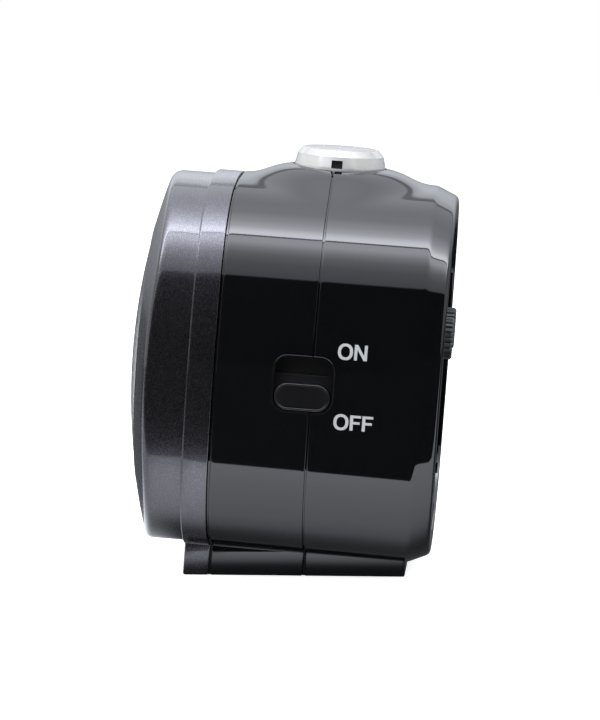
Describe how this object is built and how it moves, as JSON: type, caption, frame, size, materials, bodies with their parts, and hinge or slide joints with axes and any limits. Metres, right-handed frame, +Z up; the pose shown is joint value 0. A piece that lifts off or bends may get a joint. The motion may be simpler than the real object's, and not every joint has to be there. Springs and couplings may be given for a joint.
{
  "type": "analog alarm clock",
  "caption": "Analog alarm clock with a rounded-square drum on a short foot, domed crystal, snooze button on top, side alarm switch and a geared hand movement.",
  "frame": {"origin": "on the ground under the foot, plumb under the centre of the drum at the hands' axis", "axes": "+Z up, +Y to the rear, so the dial looks along -Y and leans back 4.15 degrees, +X on the side with the alarm switch"},
  "size_m": [0.0907, 0.078, 0.1013],
  "materials": {
    "bezel_paint": "metallic grey paint",
    "case_black": "polished",
    "inner_black": "moulded",
    "crystal_clear": "clear",
    "ring_grey": "satin",
    "dial_face": "printed",
    "hand_black": "painted",
    "hand_red": "painted",
    "hand_white": "painted",
    "gear_white": "moulded",
    "gear_black": "moulded",
    "movement_shell": "moulded",
    "steel": "bright",
    "copper": "wound wire",
    "board_green": "solder mask",
    "knob_dark": "ribbed",
    "button_chrome": "chrome plated",
    "switch_dark": "satin",
    "door_black": "satin",
    "cell_jacket": "plain sleeve",
    "sounder_brass": "bright"
  },
  "bodies": {
    "case": {"front_bezel": "bezel_paint", "middle_case": "case_black", "rear_case": "case_black", "case_screws": "steel", "crystal": "crystal_clear", "dial_ring": "ring_grey", "dial": "dial_face", "movement_holder": "inner_black", "holder_screws": "steel", "movement_front_plate": "movement_shell", "movement_bridge": "gear_white", "movement_back_cover": "movement_shell", "circuit_board": "board_green", "quartz_can": "steel", "stator": "steel", "coil": "copper", "snooze_spring": "steel", "snooze_bracket": "inner_black", "snooze_switch": "switch_dark", "switch_cage": "inner_black", "battery_cell": "cell_jacket", "pole_contact": "steel", "spring_contact": "steel", "sounder_ring": "inner_black", "sounder_disc": "sounder_brass"},
    "second": {"second_wheel": "gear_white", "second_hand": "hand_white"},
    "fifth": {"fifth_wheel": "gear_white"},
    "rotor": {"rotor": "gear_black"},
    "third": {"third_wheel": "gear_white"},
    "minute": {"centre_wheel": "gear_white", "minute_hand": "hand_black"},
    "minute_work": {"minute_wheel": "gear_white"},
    "hour": {"hour_wheel": "gear_white", "hour_hand": "hand_black"},
    "time_set": {"time_set_stem": "gear_white", "time_set_knob": "knob_dark"},
    "alarm_set": {"alarm_set_stem": "gear_white", "alarm_set_knob": "knob_dark"},
    "alarm": {"alarm_wheel": "gear_white", "alarm_hand": "hand_red"},
    "snooze": {"snooze_button": "button_chrome"},
    "alarm_slider": {"alarm_switch": "switch_dark"},
    "battery_door": {"battery_door": "door_black"}
  },
  "joints": [
    {"name": "second_spin", "type": "hinge", "parent": "case", "child": "second", "pos_m": [0, 0, 0.04884], "axis": [0, 0.9974, -0.0724], "continuous": true},
    {"name": "fifth_spin", "type": "hinge", "parent": "case", "child": "fifth", "pos_m": [-0.0084, 0, 0.04884], "axis": [0, 0.9974, -0.0724], "continuous": true},
    {"name": "rotor_spin", "type": "hinge", "parent": "case", "child": "rotor", "pos_m": [-0.01629, -0.00021, 0.04598], "axis": [0, 0.9974, -0.0724], "continuous": true},
    {"name": "third_spin", "type": "hinge", "parent": "case", "child": "third", "pos_m": [0, -0.00078, 0.03807], "axis": [0, 0.9974, -0.0724], "continuous": true},
    {"name": "minute_spin", "type": "hinge", "parent": "case", "child": "minute", "pos_m": [0, 0, 0.04884], "axis": [0, 0.9974, -0.0724], "continuous": true},
    {"name": "minute_work_spin", "type": "hinge", "parent": "case", "child": "minute_work", "pos_m": [0.00557, 0.00042, 0.05457], "axis": [0, 0.9974, -0.0724], "continuous": true},
    {"name": "hour_spin", "type": "hinge", "parent": "case", "child": "hour", "pos_m": [0, 0, 0.04884], "axis": [0, 0.9974, -0.0724], "continuous": true},
    {"name": "time_set_spin", "type": "hinge", "parent": "case", "child": "time_set", "pos_m": [0.01281, 0.00072, 0.05881], "axis": [0, 0.9974, -0.0724], "continuous": true},
    {"name": "alarm_set_spin", "type": "hinge", "parent": "case", "child": "alarm_set", "pos_m": [-0.01281, 0.00072, 0.05881], "axis": [0, 0.9974, -0.0724], "continuous": true},
    {"name": "alarm_spin", "type": "hinge", "parent": "case", "child": "alarm", "pos_m": [0, 0, 0.04884], "axis": [0, 0.9974, -0.0724], "continuous": true},
    {"name": "snooze_press", "type": "slide", "parent": "case", "child": "snooze", "axis": [0, -0.0724, -0.9974], "range_m": [0, 0.0015], "stiffness_N_per_m": 600, "springref_m": -0.0015, "deforming": ["snooze_spring"]},
    {"name": "alarm_on_slide", "type": "slide", "parent": "case", "child": "alarm_slider", "axis": [0, 0.0724, 0.9974], "range_m": [0, 0.0059]},
    {"name": "battery_door_swing", "type": "hinge", "parent": "case", "child": "battery_door", "pos_m": [0, 0.02885, 0.01812], "axis": [-1, 0, 0], "range_deg": [0, 95]}
  ],
  "couplings": [
    {"joint": "fifth_spin", "follows": "second_spin", "ratio": -5},
    {"joint": "rotor_spin", "follows": "second_spin", "ratio": 30},
    {"joint": "third_spin", "follows": "second_spin", "ratio": -0.13333},
    {"joint": "minute_spin", "follows": "second_spin", "ratio": 0.016667},
    {"joint": "minute_work_spin", "follows": "second_spin", "ratio": -0.0055556},
    {"joint": "hour_spin", "follows": "second_spin", "ratio": 0.0013889},
    {"joint": "time_set_spin", "follows": "second_spin", "ratio": 0.013889},
    {"joint": "alarm_spin", "follows": "alarm_set_spin", "ratio": -0.25}
  ]
}
